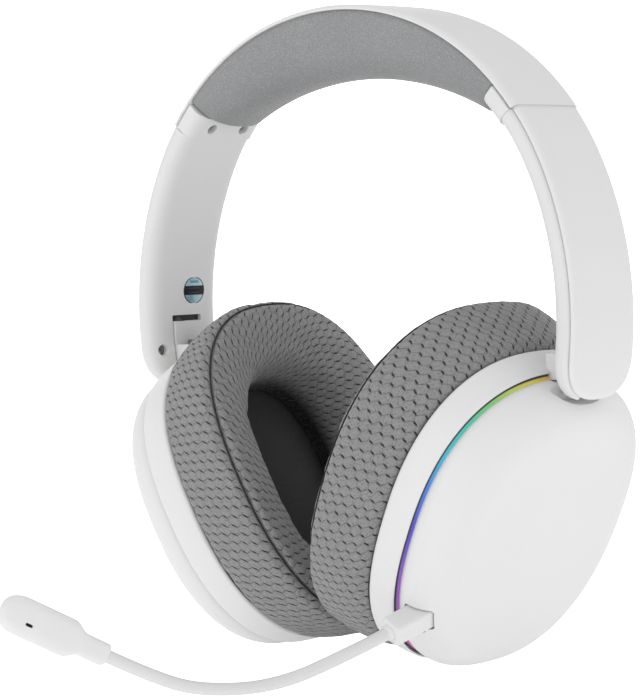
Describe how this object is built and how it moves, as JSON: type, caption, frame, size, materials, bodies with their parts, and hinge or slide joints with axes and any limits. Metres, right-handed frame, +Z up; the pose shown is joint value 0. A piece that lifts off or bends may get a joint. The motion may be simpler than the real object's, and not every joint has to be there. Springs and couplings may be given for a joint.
{
  "type": "gaming headset",
  "caption": "Over-ear gaming headset with padded headband, sliding and swivelling oval cups, a light ring on each cup and a plug-in gooseneck microphone.",
  "frame": {"origin": "midway between the two ear cups, at the centre of the wearer's head at ear height", "axes": "+X to the wearer's left, +Y to the back of the head, +Z up"},
  "size_m": [0.1844, 0.2159, 0.2011],
  "materials": {
    "white_plastic": "fine satin moulded finish",
    "white_inner_plastic": "satin moulded, inner faces",
    "grey_leatherette": "smooth grey leatherette",
    "grey_knit": "grey air-mesh knit",
    "dark_scrim": "charcoal cloth over foam",
    "spring_steel": "spring steel strip",
    "screw_steel": "nickelled screws",
    "dark_plastic": "black moulded",
    "board_green": "solder mask",
    "rgb_light": "translucent light guide lit by the LED strip",
    "cable_black": "cable sheath",
    "battery_wrap": "foil pouch",
    "magnet_nickel": "nickel plated",
    "jack_gold": "gold flashed",
    "gooseneck_white": "white flexible sleeve",
    "foil_sticker": "foil disc"
  },
  "bodies": {
    "headband": {"headband_shell": "white_plastic", "headband_pad": "grey_leatherette", "pad_base": "dark_plastic", "spring_band": "spring_steel", "headband_cable": "cable_black", "end_cap_left": "white_plastic", "end_cap_right": "white_plastic", "end_cap_screws": "screw_steel", "arm_outer_cover_left": "white_plastic", "arm_outer_cover_right": "white_plastic", "arm_inner_cover_left": "white_inner_plastic", "arm_inner_cover_right": "white_inner_plastic", "arm_screws": "screw_steel", "inspection_sticker": "foil_sticker"},
    "slider_left": {"slider_stem_left": "spring_steel"},
    "slider_right": {"slider_stem_right": "spring_steel"},
    "swivel_left": {"swivel_block_left": "white_inner_plastic", "swivel_screw_left": "screw_steel"},
    "swivel_right": {"swivel_block_right": "white_inner_plastic", "swivel_screw_right": "screw_steel"},
    "cup_left": {"cup_shell_left": "white_plastic", "outer_cover_left": "white_plastic", "light_ring_left": "rgb_light", "led_strip_left": "board_green", "baffle_left": "dark_plastic", "cup_screws_left": "screw_steel", "ear_cushion_left": "grey_knit", "cushion_plate_left": "dark_plastic", "scrim_left": "dark_scrim", "driver_frame_left": "dark_plastic", "driver_magnet_left": "magnet_nickel", "hinge_pin_left": "spring_steel", "hinge_bracket_left": "spring_steel", "circuit_board": "board_green", "volume_encoder": "dark_plastic", "usb_socket": "spring_steel", "mic_socket": "dark_plastic"},
    "cup_right": {"cup_shell_right": "white_plastic", "outer_cover_right": "white_plastic", "light_ring_right": "rgb_light", "led_strip_right": "board_green", "baffle_right": "dark_plastic", "cup_screws_right": "screw_steel", "ear_cushion_right": "grey_knit", "cushion_plate_right": "dark_plastic", "scrim_right": "dark_scrim", "driver_frame_right": "dark_plastic", "driver_magnet_right": "magnet_nickel", "hinge_pin_right": "spring_steel", "hinge_bracket_right": "spring_steel", "battery": "battery_wrap"},
    "power_button": {"power_button": "white_plastic"},
    "mute_button": {"mute_button": "white_plastic"},
    "volume_wheel": {"volume_wheel": "white_plastic"},
    "microphone": {"mic_plug": "white_plastic", "mic_jack": "jack_gold", "mic_boom": "gooseneck_white", "mic_housing_front": "white_plastic", "mic_housing_back": "white_plastic", "mic_capsule": "dark_plastic"}
  },
  "joints": [
    {"name": "height_slide_left", "type": "slide", "parent": "headband", "child": "slider_left", "axis": [0, 0, -1], "range_m": [0, 0.022]},
    {"name": "swivel_left", "type": "hinge", "parent": "slider_left", "child": "swivel_left", "pos_m": [0.078, 0, 0.042], "axis": [0, 0, 1], "range_deg": [-8, 8]},
    {"name": "height_slide_right", "type": "slide", "parent": "headband", "child": "slider_right", "axis": [0, 0, -1], "range_m": [0, 0.022]},
    {"name": "swivel_right", "type": "hinge", "parent": "slider_right", "child": "swivel_right", "pos_m": [-0.078, 0, 0.042], "axis": [0, 0, 1], "range_deg": [-14.6, 1.4]},
    {"name": "tilt_left", "type": "hinge", "parent": "swivel_left", "child": "cup_left", "pos_m": [0.0765, 0, 0.0295], "axis": [0, -1, 0], "range_deg": [0, 16]},
    {"name": "tilt_right", "type": "hinge", "parent": "swivel_right", "child": "cup_right", "pos_m": [-0.07651, 0.00017, 0.0295], "axis": [-0.1149, 0.9934, 0], "range_deg": [0, 14]},
    {"name": "power_button_press", "type": "slide", "parent": "cup_left", "child": "power_button", "axis": [-0.0945, -0.9775, -0.1888], "range_m": [0, 0.0005], "stiffness_N_per_m": 1200},
    {"name": "mute_button_press", "type": "slide", "parent": "cup_left", "child": "mute_button", "axis": [-0.0365, -0.9967, -0.0728], "range_m": [0, 0.0005], "stiffness_N_per_m": 1200},
    {"name": "volume_turn", "type": "hinge", "parent": "cup_left", "child": "volume_wheel", "pos_m": [0.04548, 0.03767, -0.00899], "axis": [0.8942, 0, -0.4478], "continuous": true},
    {"name": "mic_unplug", "type": "slide", "parent": "cup_left", "child": "microphone", "axis": [-0.1517, -0.9409, -0.3029], "range_m": [0, 0.035]}
  ]
}
